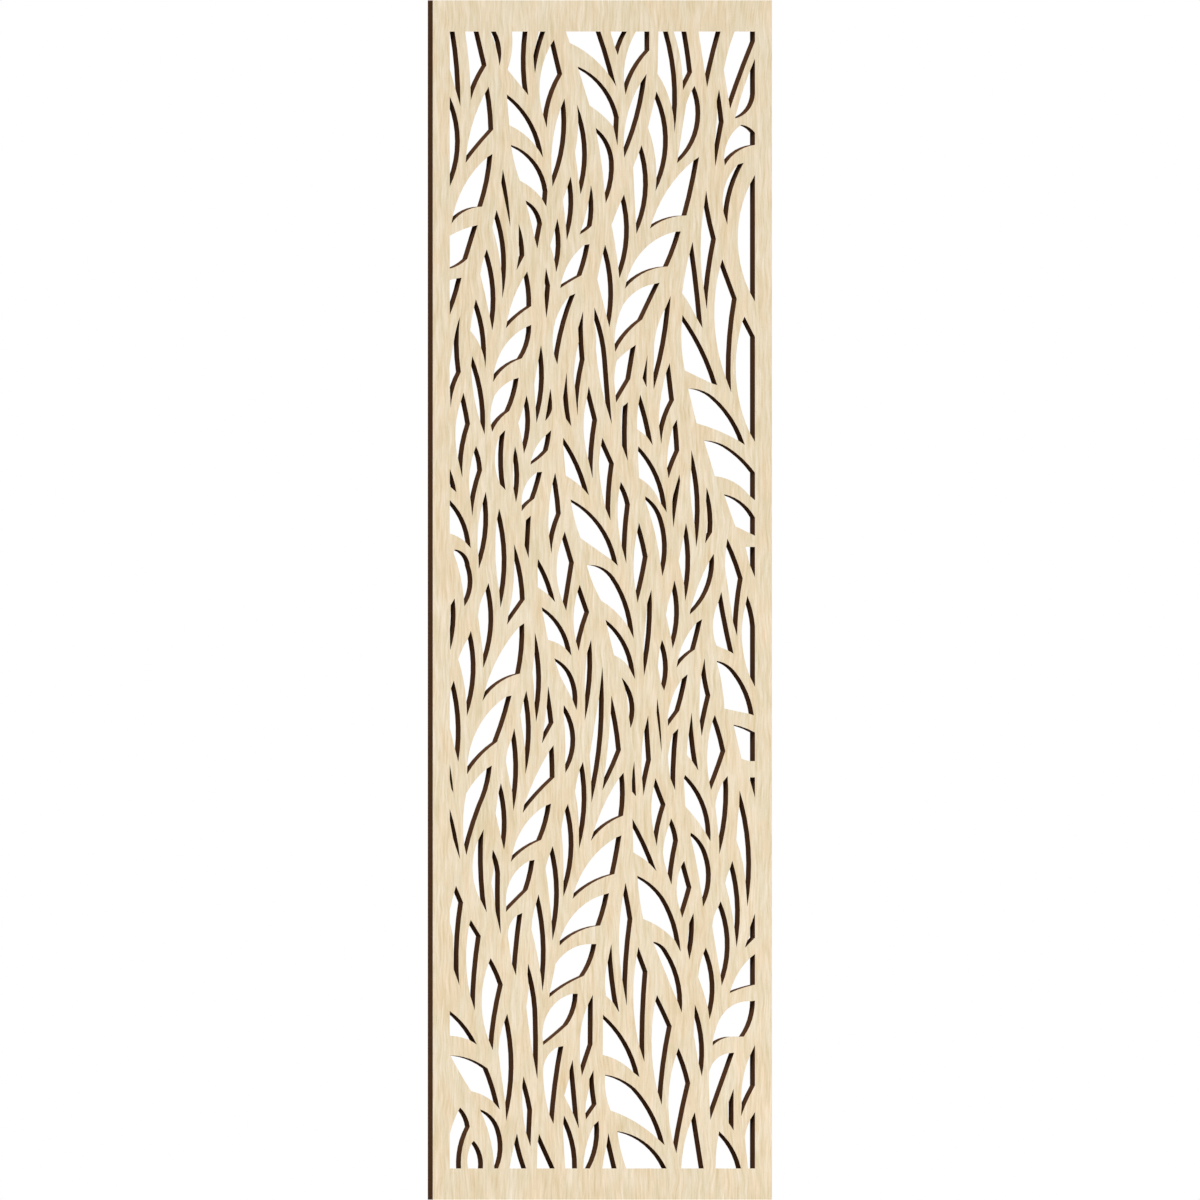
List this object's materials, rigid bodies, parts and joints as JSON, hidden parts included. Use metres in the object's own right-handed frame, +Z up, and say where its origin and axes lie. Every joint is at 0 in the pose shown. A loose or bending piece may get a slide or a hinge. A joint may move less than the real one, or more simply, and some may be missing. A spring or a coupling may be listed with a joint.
{
  "type": "fretwork wood panel",
  "caption": "Tall rectangular plywood screen panel, pierced right through with a flowing leaf pattern inside a plain border, for fixing flat to a wall or into a frame.",
  "frame": {"origin": "middle of the bottom edge, halfway through the thickness", "axes": "X across the panel to the right as seen from the front, Y from the front face to the back face, Z up"},
  "size_m": [0.381, 0.012, 1.2192],
  "materials": {
    "face_veneer": "sanded pale birch veneer, bare, grain upright, cut edges burnt dark brown",
    "long_ply": "birch ply with upright grain, seen only at its dark burnt edges",
    "crossband_ply": "birch ply with level grain, seen only at its dark burnt edges"
  },
  "bodies": {
    "root": {"front_veneer": "face_veneer", "front_outer_crossband": "crossband_ply", "front_long_core": "long_ply", "front_inner_crossband": "crossband_ply", "centre_core": "long_ply", "back_inner_crossband": "crossband_ply", "back_long_core": "long_ply", "back_outer_crossband": "crossband_ply", "back_veneer": "face_veneer"}
  },
  "joints": []
}
